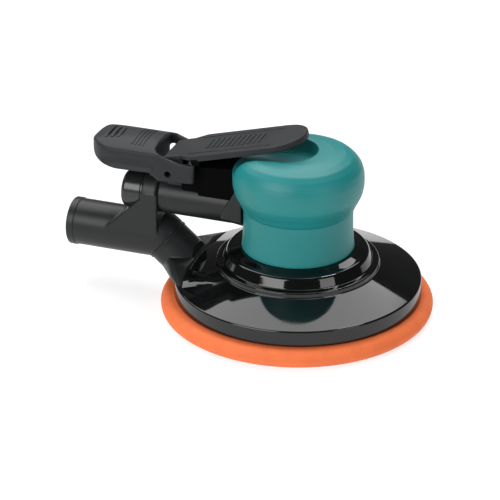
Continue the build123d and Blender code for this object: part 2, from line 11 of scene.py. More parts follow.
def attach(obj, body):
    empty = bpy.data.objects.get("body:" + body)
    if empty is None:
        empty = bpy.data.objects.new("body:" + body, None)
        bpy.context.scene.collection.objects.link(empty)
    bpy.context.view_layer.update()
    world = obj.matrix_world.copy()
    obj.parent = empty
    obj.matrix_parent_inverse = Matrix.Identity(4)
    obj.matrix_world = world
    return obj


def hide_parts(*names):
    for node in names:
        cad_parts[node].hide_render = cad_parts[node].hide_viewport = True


bl_info = {
    "name": "Palm-grip air sander",
    "version": (1, 0, 0),
    "blender": (4, 5, 0),
    "location": "View3D > Sidebar > Sander",
    "description": "Builds the visible pieces of an orbital sander round its frame",
    "category": "Object",
}

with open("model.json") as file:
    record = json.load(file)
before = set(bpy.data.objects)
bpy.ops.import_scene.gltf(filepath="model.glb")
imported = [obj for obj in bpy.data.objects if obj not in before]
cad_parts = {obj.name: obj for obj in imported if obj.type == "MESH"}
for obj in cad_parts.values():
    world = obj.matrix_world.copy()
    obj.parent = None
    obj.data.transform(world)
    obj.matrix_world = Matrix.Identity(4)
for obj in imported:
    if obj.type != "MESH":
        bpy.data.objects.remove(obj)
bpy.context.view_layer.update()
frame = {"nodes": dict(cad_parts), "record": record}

MM = 0.001
AXIS = {"X": Vector((1, 0, 0)), "Y": Vector((0, 1, 0)), "Z": Vector((0, 0, 1))}
SPIN_STEPS = 192
HANDLE_Z = 56.0
HOSE_Z = 30.5
PIVOT = Vector((-70.0, 0.0, 75.3))
LEVER_RISE = math.radians(15.2)
PAD_CENTRE = (0.0, -1.25, 0.0)
DUST_CIRCLE = 40.0
DUST_ANGLES = [math.radians(60 * i) for i in range(6)]
DUST_HOLES = [(DUST_CIRCLE * math.cos(a), DUST_CIRCLE * math.sin(a) + PAD_CENTRE[1]) for a in DUST_ANGLES]
LONG_EDGE = 2.2
SUPPORT = 0.25


# ---------------------------------------------------------------- shapes
def turned(outline, direction="Z", centre=(0, 0, 0), steps=SPIN_STEPS, closed=True):
    """Spins an outline of (radius, height, corner round) about an axis through centre."""
    shape = bmesh.new()
    corners = [shape.verts.new((r * MM, 0, z * MM)) for r, z, _ in outline]
    pairs = list(zip(corners, corners[1:]))
    if closed:
        pairs.append((corners[-1], corners[0]))
    for pair in pairs:
        shape.edges.new(pair)
    for corner, (_, _, fillet) in zip(corners, outline):
        if fillet:
            bmesh.ops.bevel(
                shape, geom=[corner], offset=fillet * MM, offset_type="OFFSET", segments=6,
                profile=0.5, affect="VERTICES", material=-1,
            )
    # long edges get a point close to each end, so that the fillets alone carry the bend in the shading
    for edge in [e for e in shape.edges if e.calc_length() > LONG_EDGE * MM]:
        start, end = edge.verts
        near, middle = bmesh.utils.edge_split(edge, start, SUPPORT * MM / edge.calc_length())
        far = near if end in near.verts else next(e for e in end.link_edges if middle in e.verts)
        bmesh.utils.edge_split(far, end, SUPPORT * MM / far.calc_length())
    geometry = shape.verts[:] + shape.edges[:]
    bmesh.ops.spin(
        shape, geom=geometry, cent=(0, 0, 0), axis=(0, 0, 1), dvec=(0, 0, 0),
        angle=2 * math.pi, steps=steps, use_merge=True, use_duplicate=False,
    )
    bmesh.ops.remove_doubles(shape, verts=shape.verts, dist=1e-6)
    bmesh.ops.recalc_face_normals(shape, faces=shape.faces)
    place(shape, direction, centre)
    return shape


def place(shape, direction="Z", centre=(0, 0, 0)):
    """Turns a shape made along Z to another axis and moves it to centre."""
    turn = {
        "X": Matrix.Rotation(math.radians(90), 3, "Y"),
        "Y": Matrix.Rotation(math.radians(-90), 3, "X"),
        "Z": Matrix.Identity(3),
    }[direction]
    bmesh.ops.rotate(shape, verts=shape.verts, cent=(0, 0, 0), matrix=turn)
    bmesh.ops.translate(shape, verts=shape.verts, vec=Vector(centre) * MM)


def prism(points, low, high, direction="Y"):
    """Extrudes a closed outline. Points are (x, z) for Y, (x, y) for Z and (y, z) for X."""
    shape = bmesh.new()
    make = {
        "Y": lambda p: (p[0], low, p[1]),
        "Z": lambda p: (p[0], p[1], low),
        "X": lambda p: (low, p[0], p[1]),
    }[direction]
    corners = [shape.verts.new(Vector(make(p)) * MM) for p in points]
    face = shape.faces.new(corners)
    grown = bmesh.ops.extrude_face_region(shape, geom=[face])["geom"]
    moved = [v for v in grown if isinstance(v, bmesh.types.BMVert)]
    bmesh.ops.translate(shape, verts=moved, vec=AXIS[direction] * (high - low) * MM)
    bmesh.ops.recalc_face_normals(shape, faces=shape.faces)
    return shape


def block(low, high):
    shape = bmesh.new()
    bmesh.ops.create_cube(shape, size=1.0)
    size = [(b - a) * MM for a, b in zip(low, high)]
    middle = Vector([(a + b) / 2 * MM for a, b in zip(low, high)])
    bmesh.ops.scale(shape, verts=shape.verts, vec=size)
    bmesh.ops.translate(shape, verts=shape.verts, vec=middle)
    return shape


def rod(radius, start, end, direction="Z", centre=(0, 0, 0), tip=None, sides=96):
    """A straight or tapered round bar from start to end along a direction."""
    shape = bmesh.new()
    bmesh.ops.create_cone(
        shape, cap_ends=True, cap_tris=False, segments=sides, radius1=radius * MM,
        radius2=(radius if tip is None else tip) * MM, depth=(end - start) * MM,
    )
    bmesh.ops.translate(shape, verts=shape.verts, vec=(0, 0, (start + end) / 2 * MM))
    place(shape, direction, centre)
    return shape


def ball(radius, centre):
    shape = bmesh.new()
    bmesh.ops.create_uvsphere(shape, u_segments=64, v_segments=32, radius=radius * MM)
    bmesh.ops.translate(shape, verts=shape.verts, vec=Vector(centre) * MM)
    return shape


def aimed(shape, origin, vector):
    """Points a shape made along Z in another direction from an origin."""
    turn = Vector((0, 0, 1)).rotation_difference(Vector(vector)).to_matrix()
    bmesh.ops.rotate(shape, verts=shape.verts, cent=(0, 0, 0), matrix=turn)
    bmesh.ops.translate(shape, verts=shape.verts, vec=Vector(origin) * MM)
    return shape


def stadium(half_width, back, end, corner=0.0, steps=48):
    """Plan outline with a round end at +X and two corner rounds at the back."""
    centre = end - half_width
    points = []
    for i in range(steps + 1):
        angle = math.radians(-90 + 180 * i / steps)
        points.append((centre + half_width * math.cos(angle), half_width * math.sin(angle)))
    for side in (1, -1):
        arc = []
        for degrees in range(0, 91, 15):
            angle = math.radians(degrees)
            reach = half_width - corner + corner * math.cos(angle)
            arc.append((back + corner - corner * math.sin(angle), side * reach))
        points += arc if side == 1 else arc[::-1]
    return points


def round_edges(shape, amount, segments=4, angle=40):
    """Bevels each edge that turns by more than an angle."""
    edges = [e for e in shape.edges if e.is_manifold and e.calc_face_angle(0) > math.radians(angle)]
    bmesh.ops.bevel(
        shape, geom=edges, offset=amount * MM, offset_type="OFFSET", segments=segments,
        profile=0.5, affect="EDGES", clamp_overlap=True, material=-1,
    )
    return shape


def as_object(shape, name):
    mesh = bpy.data.meshes.new(name)
    shape.to_mesh(mesh)
    shape.free()
    made = bpy.data.objects.new(name, mesh)
    bpy.context.scene.collection.objects.link(made)
    return made


def evaluated(made):
    """Applies an object's modifiers and hands the result back as a shape."""
    graph = bpy.context.evaluated_depsgraph_get()
    mesh = bpy.data.meshes.new_from_object(made.evaluated_get(graph))
    shape = bmesh.new()
    shape.from_mesh(mesh)
    bpy.data.meshes.remove(mesh)
    old = made.data
    bpy.data.objects.remove(made)
    bpy.data.meshes.remove(old)
    return shape


def joined(*shapes):
    """Puts several shapes in one."""
    mesh = bpy.data.meshes.new("joined")
    whole = bmesh.new()
    for shape in shapes:
        shape.to_mesh(mesh)
        whole.from_mesh(mesh)
        shape.free()
    bpy.data.meshes.remove(mesh)
    return whole


def carved(shape, cutter, operation="DIFFERENCE"):
    """Cuts, joins or keeps the common part of two closed shapes."""
    made = as_object(shape, "carve_base")
    tool = as_object(cutter, "carve_tool")
    step = made.modifiers.new("carve", "BOOLEAN")
    step.operation = operation
    step.solver = "EXACT"
    step.object = tool
    bpy.context.view_layer.update()
    result = evaluated(made)
    old = tool.data
    bpy.data.objects.remove(tool)
    bpy.data.meshes.remove(old)
    return result


def moulded(shape, grain, passes):
    """Remeshes a closed shape evenly and softens its edges, as a mould leaves them."""
    made = as_object(shape, "mould")
    step = made.modifiers.new("skin", "REMESH")
    step.mode = "VOXEL"
    step.voxel_size = grain * MM
    step.adaptivity = 0.0
    bpy.context.view_layer.update()
    result = evaluated(made)
    for _ in range(passes):
        bmesh.ops.smooth_vert(
            result, verts=result.verts, factor=0.5, use_axis_x=True, use_axis_y=True, use_axis_z=True,
        )
    return result


def finish_piece(name, shape, body, finish, nodes=(), sharp=None):
    """Makes the object of a piece, shades it, hangs it on the body it rides on and hides the frame nodes it stands
    for.
    """
    made = as_object(shape, name)
    made.data.shade_smooth()
    if sharp:
        made.data.set_sharp_from_angle(angle=math.radians(sharp))
    made.data.materials.append(finish)
    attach(made, body)
    if nodes:
        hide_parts(*nodes)
    return made


# ---------------------------------------------------------------- finishes
class Value:
    """A node's output that takes part in sums."""

    def __init__(self, recipe, socket):
        self.recipe = recipe
        self.socket = socket

    def _math(self, operation, first, second):
        return self.recipe.node("ShaderNodeMath", {"operation": operation}, {0: first, 1: second})

    def __add__(self, other):
        return self._math("ADD", self, other)

    def __radd__(self, other):
        return self._math("ADD", other, self)

    def __sub__(self, other):
        return self._math("SUBTRACT", self, other)

    def __rsub__(self, other):
        return self._math("SUBTRACT", other, self)

    def __mul__(self, other):
        return self._math("MULTIPLY", self, other)

    def __rmul__(self, other):
        return self._math("MULTIPLY", other, self)

    def above(self, edge, width):
        """0 below an edge and 1 above it, with a soft step."""
        settings = {"interpolation_type": "SMOOTHSTEP"}
        inputs = {0: self, 1: edge - width, 2: edge + width, 3: 0.0, 4: 1.0}
        return self.recipe.node("ShaderNodeMapRange", settings, inputs)


class Recipe:
    """One material and the nodes that make it."""

    def __init__(self, name):
        self.material = bpy.data.materials.new(name)
        self.material.use_nodes = True
        self.tree = self.material.node_tree
        self.shader = self.tree.nodes["Principled BSDF"]
        self.place = self.node("ShaderNodeTexCoord", {}, {}, "Object")

    def node(self, kind, settings, inputs, output=0):
        made = self.tree.nodes.new(kind)
        for key, value in settings.items():
            if key == "stops":
                ramp = made.color_ramp.elements
                while len(ramp) < len(value):
                    ramp.new(0.5)
                for stop, (where, colour) in zip(ramp, value):
                    stop.position = where
                    stop.color = colour
            else:
                setattr(made, key, value)
        for key, value in inputs.items():
            if isinstance(value, Value):
                self.tree.links.new(value.socket, made.inputs[key])
            else:
                made.inputs[key].default_value = value
        return Value(self, made.outputs[output])

    def noise(self, size, detail=3.0, roughness=0.55, stretch=(1, 1, 1)):
        """Noise whose features are about size millimetres across."""
        turned_place = self.node("ShaderNodeMapping", {}, {"Vector": self.place, "Scale": stretch})
        inputs = {"Vector": turned_place, "Scale": 1 / (size * MM), "Detail": detail, "Roughness": roughness}
        return self.node("ShaderNodeTexNoise", {}, inputs)

    def cells(self, size, output="Distance"):
        inputs = {"Vector": self.place, "Scale": 1 / (size * MM)}
        return self.node("ShaderNodeTexVoronoi", {}, inputs, output)

    def mix(self, share, first, second):
        inputs = {0: share, 6: first, 7: second}
        return self.node("ShaderNodeMix", {"data_type": "RGBA"}, inputs, 2)

    def feed(self, **inputs):
        for key, value in inputs.items():
            socket = self.shader.inputs[key.replace("_", " ")]
            if isinstance(value, Value):
                self.tree.links.new(value.socket, socket)
            else:
                socket.default_value = value

    def relief(self, height, depth, strength=1.0):
        """A bump of about depth millimetres."""
        inputs = {"Strength": strength, "Distance": depth * MM, "Height": height}
        self.feed(Normal=self.node("ShaderNodeBump", {}, inputs, "Normal"))


def tint(colour, factor):
    return tuple(min(1.0, c * factor) for c in colour[:3]) + (1.0,)


def rubber_finish(name, colour):
    """Matt moulded rubber with a fine eggshell grain and slight cloudiness."""
    recipe = Recipe(name)
    cloud = recipe.noise(22.0, 4.0)
    grain = recipe.noise(0.55, 2.0)
    base = recipe.mix(cloud.above(0.5, 0.25), tint(colour, 0.93), tint(colour, 1.07))
    base = recipe.mix(grain.above(0.62, 0.12) * 0.35, base, tint(colour, 1.35))
    recipe.feed(Base_Color=base, Roughness=0.38 + cloud * 0.1 + grain * 0.08, IOR=1.5)
    recipe.relief(grain, 0.035, 0.55)
    return recipe.material


def textured_finish(name, colour, grain_size=0.42, depth=0.05, rough=0.42, worn=0.35, gleam=0.5):
    """Spark-eroded moulded plastic, a little paler where edges are handled."""
    recipe = Recipe(name)
    cloud = recipe.noise(18.0, 5.0)
    grain = recipe.noise(grain_size, 2.0)
    edge = recipe.node("ShaderNodeNewGeometry", {}, {}, "Pointiness").above(0.56, 0.05)
    base = recipe.mix(cloud.above(0.5, 0.3), tint(colour, 0.88), tint(colour, 1.12))
    base = recipe.mix(grain.above(0.6, 0.1) * 0.3, base, tint(colour, 1.5))
    base = recipe.mix(edge * worn, base, tint(colour, 1.9))
    recipe.feed(Base_Color=base, Roughness=rough + cloud * 0.1 + grain * 0.08, Specular_IOR_Level=gleam)
    recipe.relief(grain, depth, 0.5)
    return recipe.material


def gloss_finish(name, colour):
    """Polished moulding: a deep gloss with faint ripple and handling haze."""
    recipe = Recipe(name)
    haze = recipe.noise(26.0, 6.0, 0.6)
    specks = recipe.cells(1.7).above(0.03, 0.015)
    base = recipe.mix(haze.above(0.5, 0.3), tint(colour, 0.8), tint(colour, 1.4))
    base = recipe.mix((1 - specks) * 0.12, base, (0.05, 0.05, 0.052, 1.0))
    recipe.feed(Base_Color=base, Roughness=0.045 + haze.above(0.58, 0.16) * 0.05 + (1 - specks) * 0.1)
    recipe.relief(recipe.noise(9.0, 1.0), 0.012, 0.35)
    return recipe.material


def foam_finish(name, colour):
    """Moulded polyurethane with fine pores and a dusty mottle."""
    recipe = Recipe(name)
    mottle = recipe.noise(9.0, 5.0)
    pores = recipe.cells(0.75)
    fine = recipe.noise(0.35, 2.0)
    # the pores are painted darker: painted shade in the pits that the bump below makes
    dark = (1 - pores.above(0.16, 0.12)) * 0.45
    base = recipe.mix(mottle.above(0.5, 0.22), tint(colour, 0.94), tint(colour, 1.05))
    base = recipe.mix(dark, base, tint(colour, 0.72))
    recipe.feed(Base_Color=base, Roughness=0.62 + fine * 0.2)
    recipe.relief(pores.above(0.2, 0.2) + fine * 0.4, 0.06, 0.6)
    return recipe.material


def metal_finish(name, colour, rough, metallic=1.0, turned_lines=True):
    """Machined metal with fine tool lines across its axis."""
    recipe = Recipe(name)
    stretch = (0.06, 0.06, 1.0) if turned_lines else (1.0, 1.0, 1.0)
    lines = recipe.noise(0.3, 3.0, 0.6, stretch)
    stain = recipe.noise(7.0, 5.0)
    base = recipe.mix(stain.above(0.5, 0.3), tint(colour, 0.84), tint(colour, 1.1))
    recipe.feed(Base_Color=base, Metallic=metallic, Roughness=rough + lines * 0.14 + stain * 0.06)
    recipe.relief(lines, 0.012, 0.4)
    return recipe.material


def cloth_finish(name, colour, size):
    """Fine hooks or pressed fibres."""
    recipe = Recipe(name)
    hooks = recipe.cells(size)
    fibre = recipe.noise(size * 0.8, 4.0, 0.7)
    # the hook tops are painted lighter and the gaps between them darker: painted light and shade that follow the bump
    # below
    base = recipe.mix(hooks.above(0.28, 0.2), tint(colour, 1.5), tint(colour, 0.55))
    base = recipe.mix(fibre * 0.4, base, tint(colour, 1.3))
    recipe.feed(Base_Color=base, Roughness=0.75 + fibre * 0.2)
    recipe.relief(1 - hooks, size * 0.5, 0.9)
    return recipe.material


def floor_finish(name):
    """Pale studio floor with a barely seen paper grain."""
    recipe = Recipe(name)
    grain = recipe.noise(60.0, 3.0)
    base = recipe.mix(grain, (0.31, 0.31, 0.31, 1.0), (0.34, 0.34, 0.34, 1.0))
    recipe.feed(
        Base_Color=base, Roughness=0.85 + grain * 0.05, Emission_Color=(1, 1, 1, 1), Emission_Strength=0.76,
    )
    recipe.feed(Specular_IOR_Level=0.1)
    return recipe.material


class Finishes:
    """The finishes, each made once when a piece first asks for it."""

    made = {}

    @classmethod
    def get(cls, slot):
        if slot not in cls.made:
            colours = bpy.context.scene.sander_colours
            cls.made[slot] = {
                "teal_rubber": lambda: rubber_finish("teal_rubber", colours.grip),
                "satin_black": lambda: textured_finish(
                    "satin_black", colours.handle, 0.3, 0.02, 0.3, 0.15, 0.3,
                ),
                "inlet_black": lambda: textured_finish("inlet_black", colours.inlet, 0.3, 0.006, 0.12, 0.2),
                "charcoal": lambda: textured_finish("charcoal", colours.lever, gleam=0.26),
                "gloss_black": lambda: gloss_finish("gloss_black", colours.shroud),
                "orange_foam": lambda: foam_finish("orange_foam", colours.foam),
                "hook_face": lambda: cloth_finish("hook_face", (0.25, 0.25, 0.26, 1), 1.1),
                "felt": lambda: cloth_finish("felt", (0.5, 0.48, 0.44, 1), 0.5),
                "steel": lambda: metal_finish("steel", (0.56, 0.57, 0.6, 1), 0.22),
                "aluminium": lambda: metal_finish("aluminium", (0.78, 0.79, 0.81, 1), 0.28),
                "dark_iron": lambda: metal_finish("dark_iron", (0.2, 0.2, 0.21, 1), 0.5, 0.7, False),
                "brass": lambda: metal_finish("brass", (0.78, 0.58, 0.27, 1), 0.26),
                # near-black, almost without gleam: partly the real black plastic, partly painted shade for the
                # shadowed space under the lever and the dark pin hole
                "painted_shade_black": lambda: textured_finish(
                    "painted_shade_black", (0.0012, 0.0012, 0.0013, 1), 0.4, 0.03, 0.6, 0.1, 0.04,
                ),
                "vane": lambda: textured_finish("vane", (0.3, 0.16, 0.08, 1), 0.6, 0.03, 0.6, 0.2),
                "plate": lambda: textured_finish("plate", (0.1, 0.1, 0.1, 1), 0.8, 0.04, 0.5, 0.2),
            }[slot]()
        return cls.made[slot]


# ---------------------------------------------------------------- settings
class SanderSizes(bpy.types.PropertyGroup):
    edge_round: bpy.props.FloatProperty(
        name="Edge softness", description="How far moulded edges are softened", default=1.0, min=0.2, max=3.0,
    )
    lever_ribs: bpy.props.IntProperty(
        name="Lever ribs", description="Grip ribs across the lever", default=11, min=0, max=20,
    )
    rest_ribs: bpy.props.IntProperty(
        name="Rest ribs", description="Grip ribs across the wrist rest", default=4, min=0, max=8,
    )
    camera_distance: bpy.props.FloatProperty(
        name="Camera distance", description="From the origin to the camera", default=1.6584, unit="LENGTH",
    )


class SanderColours(bpy.types.PropertyGroup):
    grip: bpy.props.FloatVectorProperty(
        name="Grip", description="Rubber grip cover", subtype="COLOR", size=4,
        default=(0.005, 0.205, 0.207, 1.0),
    )
    handle: bpy.props.FloatVectorProperty(
        name="Handle", description="Handle, hose tube and nozzle", subtype="COLOR", size=4,
        default=(0.0135, 0.0145, 0.0152, 1.0),
    )
    inlet: bpy.props.FloatVectorProperty(
        name="Inlet", description="Air inlet cap", subtype="COLOR", size=4,
        default=(0.017, 0.018, 0.018, 1.0),
    )
    lever: bpy.props.FloatVectorProperty(
        name="Lever", description="Lever and wrist rest", subtype="COLOR", size=4,
        default=(0.0165, 0.0185, 0.0205, 1.0),
    )
    shroud: bpy.props.FloatVectorProperty(
        name="Shroud", description="Shroud and its duct", subtype="COLOR", size=4,
        default=(0.0035, 0.0038, 0.004, 1.0),
    )
    foam: bpy.props.FloatVectorProperty(
        name="Foam", description="Pad foam", subtype="COLOR", size=4, default=(0.86, 0.175, 0.045, 1.0),
    )


# ---------------------------------------------------------------- pieces
class SANDER_OT_pad(bpy.types.Operator):
    """Foam pad with its dust holes, and the hook face under it"""

    bl_idname = "sander.pad"
    bl_label = "Pad"

    def execute(self, context):
        foam = turned(
            [(0, 1.2, 0), (71.55, 1.2, 0), (72.3, 0.55, 0), (73.9, 1.25, 0.9), (75.0, 3.2, 1.5),
             (75.0, 6.3, 2.4), (71.6, 9.45, 1.6), (62.1, 9.5, 0), (62.05, 6.5, 0), (0, 6.5, 0)],
            centre=PAD_CENTRE, closed=False,
        )
        for x, y in DUST_HOLES:
            foam = carved(foam, rod(5.0, -2, 12, centre=(x, y, 0), sides=48))
        piece = finish_piece(
            "pad_foam_body", foam, "pad", Finishes.get("orange_foam"), ("pad_foam",), 32,
        )
        face = turned(
            [(0, 0, 0), (71.6, 0, 0.4), (71.6, 1.2, 0.2), (0, 1.2, 0)], centre=PAD_CENTRE, closed=False,
        )
        for x, y in DUST_HOLES:
            face = carved(face, rod(4.9, -2, 3, centre=(x, y, 0), sides=48))
        finish_piece(
            "pad_hooks", face, "pad", Finishes.get("hook_face"), ("pad_hook_face",), 32,
        )
        return {"FINISHED"}


class SANDER_OT_shroud(bpy.types.Operator):
    """Glossy stepped shroud, open under the skirt, with the duct that leads to the nozzle"""

    bl_idname = "sander.shroud"
    bl_label = "Shroud"

    def execute(self, context):
        gloss = Finishes.get("gloss_black")
        shell = turned(
            [(68.3, 10.1, 0.3), (68.0, 18.7, 0.7), (44.9, 26.9, 0.5), (44.6, 29.7, 0.7), (41.1, 30.0, 0.5),
             (38.7, 35.8, 1.5), (36.2, 36.0, 0.8), (32.3, 37.35, 0.3), (28.6, 37.35, 0), (28.6, 34.2, 0),
             (36.2, 34.2, 0), (38.3, 28.5, 0), (42.4, 27.4, 0), (42.4, 25.7, 0), (65.7, 17.6, 0),
             (65.9, 10.1, 0.3)],
        )
        shell = carved(shell, block((-80, -20.9, 0), (-58.9, 20.9, 30)))
        finish_piece("shroud_shell", shell, "root", gloss, ("shroud",), 28)

        top_back, top_front = Vector((-57.0, -21.0, 23.2)), Vector((-29.0, -36.0, 26.3))
        rim_front, rim_back = Vector((-36.0, -38.8, 23.4)), Vector((-53.6, -39.4, 18.9))
        strips, bulge = 8, 1.1
        duct = bmesh.new()
        corners = {}

        def corner(p):
            key = tuple(p)
            if key not in corners:
                corners[key] = duct.verts.new(Vector(key) * MM)
            return corners[key]

        def mirrored(p, side):
            return Vector((p.x, p.y * -side, p.z))

        top = [(top_back, -1), (top_front, -1), (top_front, 1), (top_back, 1)]
        duct.faces.new([duct.verts.new(mirrored(p, side) * MM) for p, side in top])
        for side in (-1, 1):
            rows = []
            for i in range(strips + 1):
                step = i / strips
                lift = Vector((-0.25, 0.3 * side, 0.92)) * 4 * step * (1 - step) * bulge
                back = mirrored(top_back.lerp(rim_back, step), side)
                front = mirrored(top_front.lerp(rim_front, step), side)
                rows.append((back + lift, front + lift))
            for (a, b), (c, d) in zip(rows, rows[1:]):
                duct.faces.new([corner(p) for p in (a, b, d, c)])
        outer = [e for e in duct.edges if e.is_boundary]
        grown = bmesh.ops.extrude_edge_only(duct, edges=outer)["geom"]
        low = [v for v in grown if isinstance(v, bmesh.types.BMVert)]
        for v in low:
            v.co.z = 17.4 * MM
        bmesh.ops.contextual_create(duct, geom=[e for e in duct.edges if e.is_boundary])
        bmesh.ops.recalc_face_normals(duct, faces=duct.faces)
        round_edges(duct, 0.7, 4, 14)
        duct = carved(duct, rod(43.6, 5, 35))
        finish_piece("shroud_duct", duct, "root", gloss, (), 28)
        return {"FINISHED"}


class SANDER_OT_grip(bpy.types.Operator):
    """Rubber grip: waist, bulb and dome, with the slot that the lever presses into"""

    bl_idname = "sander.grip"
    bl_label = "Grip"

    def execute(self, context):
        outline = [
            (31.0, 37.45), (30.45, 42.0), (30.1, 48.0), (30.0, 55.0), (30.0, 60.2), (29.5, 60.9), (30.8, 61.3),
            (31.9, 64.0), (33.5, 67.0), (35.0, 70.4), (35.75, 74.0), (35.95, 77.5), (35.7, 81.5), (34.6, 85.2),
            (32.4, 88.3),
            (29.6, 90.8), (25.5, 92.5), (19.0, 93.6), (10.0, 93.95), (0.0, 94.0),
        ]
        inner = [(0.0, 81.5), (27.6, 81.5), (27.6, 37.45)]
        body = turned([(r, z, 0) for r, z in outline + inner])
        floor_at_pivot, slope = 78.41, math.tan(math.radians(5.2))
        low, high = -75.0, 40.0
        floor_low, floor_high = (floor_at_pivot + slope * (x - PIVOT.x) for x in (low, high))
        above = prism([(low, floor_low), (high, floor_high), (high, 120), (low, 120)], -40, 40)
        slot = carved(prism(stadium(17.3, -75, 10.2), 70, 110, "Z"), above, "INTERSECT")
        body = carved(body, slot)
        body = carved(body, rod(10.9, -45, 0, "X", (0, 0, HANDLE_Z)))
        soft = moulded(body, 0.5, round(3 * context.scene.sander_sizes.edge_round))
        finish_piece("grip_rubber", soft, "root", Finishes.get("teal_rubber"), ("grip_cover",))
        return {"FINISHED"}


class SANDER_OT_handle(bpy.types.Operator):
    """Handle tube, its flat-sided neck and the lug that carries the lever"""

    bl_idname = "sander.handle"
    bl_label = "Handle"

    def execute(self, context):
        tube = turned(
            [(10.2, -87.8, 0.2), (10.2, -79.0, 0), (10.0, -78.9, 0), (10.8, -78.2, 0.3), (10.8, -30.0, 0),
             (6.6, -30.0, 0), (6.6, -87.8, 0)],
            "X", (0, 0, HANDLE_Z), 128,
        )
        housing = turned(
            [(27.55, 37.5, 0), (27.55, 81.4, 0.8), (0, 81.4, 0), (0, 78.9, 0), (25.1, 78.9, 0), (25.1, 37.5, 0)],
            steps=128,
        )
        neck = rod(9.4, -49.0, -29.0, "X", (0, 0, HANDLE_Z), tip=11.9, sides=8)
        turn = Matrix.Rotation(math.radians(22.5), 3, "X")
        bmesh.ops.rotate(neck, verts=neck.verts, cent=(0, 0, HANDLE_Z * MM), matrix=turn)
        lug = [
            (-6.2, 62), (6.2, 62), (6.2, 69.5), (9.6, 71.5), (9.6, 75.3), (-9.6, 75.3), (-9.6, 71.5), (-6.2, 69.5),
        ]
        lug = prism(lug, -74.5, -65.5, "X")
        eye = rod(4.5, -9.6, 9.6, "Y", (PIVOT.x, 0, PIVOT.z))
        boss = rod(5.0, 58, 68.9, centre=(-58, 0, 0))
        # The tower and cheeks fill the space under the lever with a near-black piece: partly the real dark moulding
        # there, partly painted shade over what lies in shadow.
        tower = prism([(-55, 62), (-33, 62), (-33, 81.3), (-55, 79.3)], -9.6, 9.6)
        cheeks = [
            prism([(-64.5, 64), (-55, 64), (-55, 78.6), (-64.5, 77.9)], side * 8.2 - 1.4, side * 8.2 + 1.4)
            for side in (-1, 1)
        ]
        guard = moulded(joined(tower, *cheeks), 0.5, 4)
        side = rod(6.5, 0, 12.5, "Y", (-42, 0, HANDLE_Z))
        bulge = prism([(-41.5, 53), (-32.5, 69.5), (-29.0, 69.5), (-29.0, 49.5), (-41.0, 50.5)], -11.3, 11.3)
        whole = moulded(joined(lug, eye, boss, side, neck, bulge), 0.5, 6)
        whole = carved(whole, rod(2.4, 57, 75, centre=(-58, 0, 0)))
        satin = Finishes.get("satin_black")
        finish_piece("handle_lug", whole, "root", satin)
        finish_piece("valve_guard_shade_fill", guard, "root", Finishes.get("painted_shade_black"))
        finish_piece("handle_tube", tube, "root", satin, ("motor_housing",), 35)
        finish_piece("motor_case", housing, "root", satin, (), 35)
        return {"FINISHED"}


class SANDER_OT_inlet(bpy.types.Operator):
    """Smooth air inlet cap with its threaded bore"""

    bl_idname = "sander.inlet"
    bl_label = "Air inlet"

    def execute(self, context):
        threads = []
        for i in range(9):
            x = -100.2 + 1.25 * i
            threads += [(6.1, x, 0), (5.72, x + 0.55, 0)]
        outline = [
            (6.9, -100.8, 0.3), (9.3, -100.8, 1.1), (10.75, -99.1, 0.9), (10.8, -89.3, 0.2), (10.4, -88.9, 0),
            (10.4, -88.3, 0), (7.1, -88.3, 0), (7.1, -78.6, 0), (4.6, -78.6, 0), (4.6, -88.6, 0), (5.7, -88.6, 0),
        ]
        cap = turned(outline + threads[::-1], "X", (0, 0, HANDLE_Z), 128)
        finish_piece(
            "inlet_cap", cap, "root", Finishes.get("inlet_black"), ("inlet_bushing",), 30,
        )
        return {"FINISHED"}


class SANDER_OT_hose_tube(bpy.types.Operator):
    """Hose tube, web, clamp ring and the bend that drops to the nozzle"""

    bl_idname = "sander.hose_tube"
    bl_label = "Hose tube"

    def execute(self, context):
        satin = Finishes.get("satin_black")
        drop = math.radians(40)
        down = Vector((math.cos(drop), 0, -math.sin(drop)))
        elbow = Vector((-80.1, 0, HOSE_Z))
        tube = rod(13.0, -131.5, -80.1, "X", (0, 0, HOSE_Z), sides=128)
        bend = ball(13.0, elbow)
        collar = aimed(rod(13.0, 0, 3.8, sides=128), elbow, down)
        ring = rod(12.35, -87.9, -79.1, "X", (0, 0, HANDLE_Z), sides=128)
        web = prism([(-78.2, 59.0), (-78.2, 32.5), (-109.0, 35.5), (-85.0, 59.0)], -12.35, 12.35)
        shell = moulded(joined(tube, bend, collar, ring, web), 0.5, 6)
        shell = carved(shell, rod(10.25, -89, -77, "X", (0, 0, HANDLE_Z)))
        shell = carved(shell, rod(10.85, -88.5, -108, "X", (0, 0, HANDLE_Z)))
        shell = carved(shell, rod(10.7, -134, -80.1, "X", (0, 0, HOSE_Z)))
        finish_piece("hose_elbow", shell, "root", satin, ("vacuum_elbow",), 40)
        band = turned(
            [(11.2, -133.0, 0.4), (13.1, -133.0, 0.5), (13.4, -132.3, 0.4), (13.4, -128.9, 0.3),
             (13.02, -128.5, 0.2), (12.6, -128.4, 0), (11.6, -128.4, 0), (11.6, -108, 0), (10.9, -108, 0),
             (11.2, -109, 0)],
            "X", (0, 0, HOSE_Z), 128,
        )
        finish_piece("hose_mouth", band, "root", satin, (), 30)
        return {"FINISHED"}


